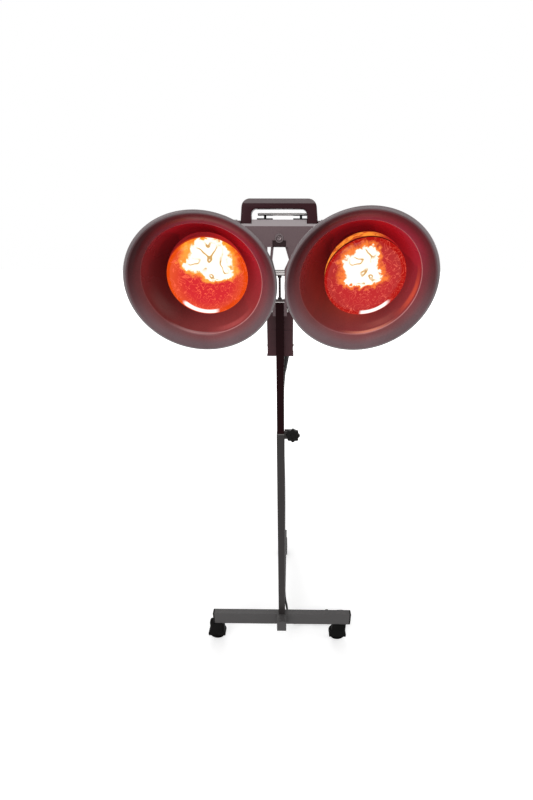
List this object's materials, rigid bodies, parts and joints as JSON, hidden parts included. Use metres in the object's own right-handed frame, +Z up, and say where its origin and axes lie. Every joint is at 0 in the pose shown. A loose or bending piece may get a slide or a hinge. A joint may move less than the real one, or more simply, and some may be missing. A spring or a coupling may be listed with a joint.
{
  "type": "infrared heat therapy lamp",
  "caption": "Two-head infrared heat lamp: red reflector bulbs in tilting bell shades on swing arms, telescopic mast, carry handle and a castored T base",
  "frame": {"origin": "on the floor under the mast's axis", "axes": "+Z up along the mast, -Y the way the lamps shine, +X to the right seen from the front"},
  "size_m": [0.4885, 0.7699, 1.27],
  "materials": {
    "dark_steel": "satin dark grey lacquer",
    "mast_steel": "satin dark grey lacquer",
    "inner_steel": "semi-gloss black lacquer",
    "bracket_steel": "satin grey lacquer",
    "zinc": "zinc plated",
    "bright": "bright chrome plating",
    "shade_aluminium": "satin mauve-grey lacquer on spun aluminium",
    "cap_aluminium": "satin grey",
    "red_glass": "red stained, etched inside",
    "brass_cap": "nickelled brass, worn",
    "ceramic": "unglazed steatite",
    "black_plastic": "fine texture",
    "grip_plastic": "semi-gloss black",
    "case_plastic": "fine grain dark grey",
    "rocker_plastic": "semi-gloss",
    "castor_plastic": "semi-gloss black nylon",
    "tread": "matt",
    "cord_rubber": "satin PVC sheath"
  },
  "bodies": {
    "stand": {"cross_bar": "dark_steel", "joint_block": "dark_steel", "spine": "dark_steel", "ballast_bar": "dark_steel", "end_plugs": "black_plastic", "castor_sockets": "black_plastic", "outer_tube": "mast_steel", "guide_bush": "black_plastic", "clamp_lugs": "zinc", "cord_hank": "cord_rubber", "hank_tie": "black_plastic", "cord_plug": "cord_rubber"},
    "mast": {"inner_tube": "inner_steel", "slide_foot": "black_plastic", "mast_plug": "black_plastic", "draw_rod": "zinc", "side_straps": "zinc", "cross_spacer": "zinc", "lamp_bracket": "bracket_steel", "mount_block": "black_plastic", "dome_screw": "bright", "carry_handle": "grip_plastic", "frame_screws": "zinc", "rear_rail": "bright", "rail_blocks": "black_plastic", "arm_pins": "zinc", "switch_box_upper": "case_plastic", "switch_box_lower": "case_plastic", "switch_bodies": "black_plastic", "terminal_block": "case_plastic", "cord_gland": "black_plastic", "cord_tube": "cord_rubber"},
    "knob": {"clamp_knob": "black_plastic"},
    "rocker_left_body": {"rocker_left": "rocker_plastic"},
    "rocker_right_body": {"rocker_right": "rocker_plastic"},
    "castor_left": {"castor_fork_left": "castor_plastic"},
    "wheel_left": {"castor_wheel_left": "tread"},
    "castor_right": {"castor_fork_right": "castor_plastic"},
    "wheel_right": {"castor_wheel_right": "tread"},
    "castor_rear": {"castor_fork_rear": "castor_plastic"},
    "wheel_rear": {"castor_wheel_rear": "tread"},
    "arm_left": {"swing_arm_left": "zinc"},
    "knuckle_body_left": {"knuckle_left": "cap_aluminium", "knuckle_pins_left": "zinc"},
    "head_left": {"shade_left": "shade_aluminium", "lamp_housing_left": "shade_aluminium", "rear_cap_left": "cap_aluminium", "lamp_holder_left": "ceramic", "bulb_glass_left": "red_glass", "bulb_cap_left": "brass_cap"},
    "arm_right": {"swing_arm_right": "zinc"},
    "knuckle_body_right": {"knuckle_right": "cap_aluminium", "knuckle_pins_right": "zinc"},
    "head_right": {"shade_right": "shade_aluminium", "lamp_housing_right": "shade_aluminium", "rear_cap_right": "cap_aluminium", "lamp_holder_right": "ceramic", "bulb_glass_right": "red_glass", "bulb_cap_right": "brass_cap"}
  },
  "joints": [
    {"name": "mast_slide", "type": "slide", "parent": "stand", "child": "mast", "axis": [0, 0, 1], "range_m": [-0.18, 0.18], "deforming": ["cord_tube"]},
    {"name": "clamp_knob_turn", "type": "hinge", "parent": "stand", "child": "knob", "pos_m": [0.031, -0.02, 0.7675], "axis": [0, 1, 0], "continuous": true},
    {"name": "rocker_left_press", "type": "hinge", "parent": "mast", "child": "rocker_left_body", "pos_m": [-0.012, 0.053, 1.0455], "axis": [1, 0, 0], "range_deg": [-6, 6]},
    {"name": "rocker_right_press", "type": "hinge", "parent": "mast", "child": "rocker_right_body", "pos_m": [0.012, 0.053, 1.0455], "axis": [1, 0, 0], "range_deg": [-6, 6]},
    {"name": "castor_left_swivel", "type": "hinge", "parent": "stand", "child": "castor_left", "pos_m": [-0.2025, 0, 0.09], "axis": [0, 0, 1], "continuous": true},
    {"name": "wheel_left_roll", "type": "hinge", "parent": "castor_left", "child": "wheel_left", "pos_m": [-0.2185, 0, 0.026], "axis": [0, 1, 0], "continuous": true},
    {"name": "castor_right_swivel", "type": "hinge", "parent": "stand", "child": "castor_right", "pos_m": [0.2025, 0, 0.09], "axis": [0, 0, 1], "continuous": true},
    {"name": "wheel_right_roll", "type": "hinge", "parent": "castor_right", "child": "wheel_right", "pos_m": [0.1865, 0, 0.026], "axis": [0, 1, 0], "continuous": true},
    {"name": "castor_rear_swivel", "type": "hinge", "parent": "stand", "child": "castor_rear", "pos_m": [0, 0.397, 0.09], "axis": [0, 0, 1], "continuous": true},
    {"name": "wheel_rear_roll", "type": "hinge", "parent": "castor_rear", "child": "wheel_rear", "pos_m": [0, 0.413, 0.026], "axis": [1, 0, 0], "continuous": true},
    {"name": "arm_left_swing", "type": "hinge", "parent": "mast", "child": "arm_left", "pos_m": [-0.089, -0.005, 1.224], "axis": [0, 0, 1], "range_deg": [-50, 1.5]},
    {"name": "head_left_swivel", "type": "hinge", "parent": "arm_left", "child": "knuckle_body_left", "pos_m": [-0.14217, -0.05355, 1.224], "axis": [0, 0, 1], "range_deg": [-40, 1.5]},
    {"name": "head_left_tilt", "type": "hinge", "parent": "knuckle_body_left", "child": "head_left", "pos_m": [-0.13873, -0.07528, 1.224], "axis": [0.9877, 0.1564, 0], "range_deg": [-35, 35]},
    {"name": "arm_right_swing", "type": "hinge", "parent": "mast", "child": "arm_right", "pos_m": [0.089, -0.005, 1.224], "axis": [0, 0, 1], "range_deg": [-1.5, 60]},
    {"name": "head_right_swivel", "type": "hinge", "parent": "arm_right", "child": "knuckle_body_right", "pos_m": [0.13773, -0.058, 1.224], "axis": [0, 0, 1], "range_deg": [-1.5, 40]},
    {"name": "head_right_tilt", "type": "hinge", "parent": "knuckle_body_right", "child": "head_right", "pos_m": [0.13681, -0.07998, 1.224], "axis": [0.9991, -0.0419, 0], "range_deg": [-35, 35]}
  ]
}
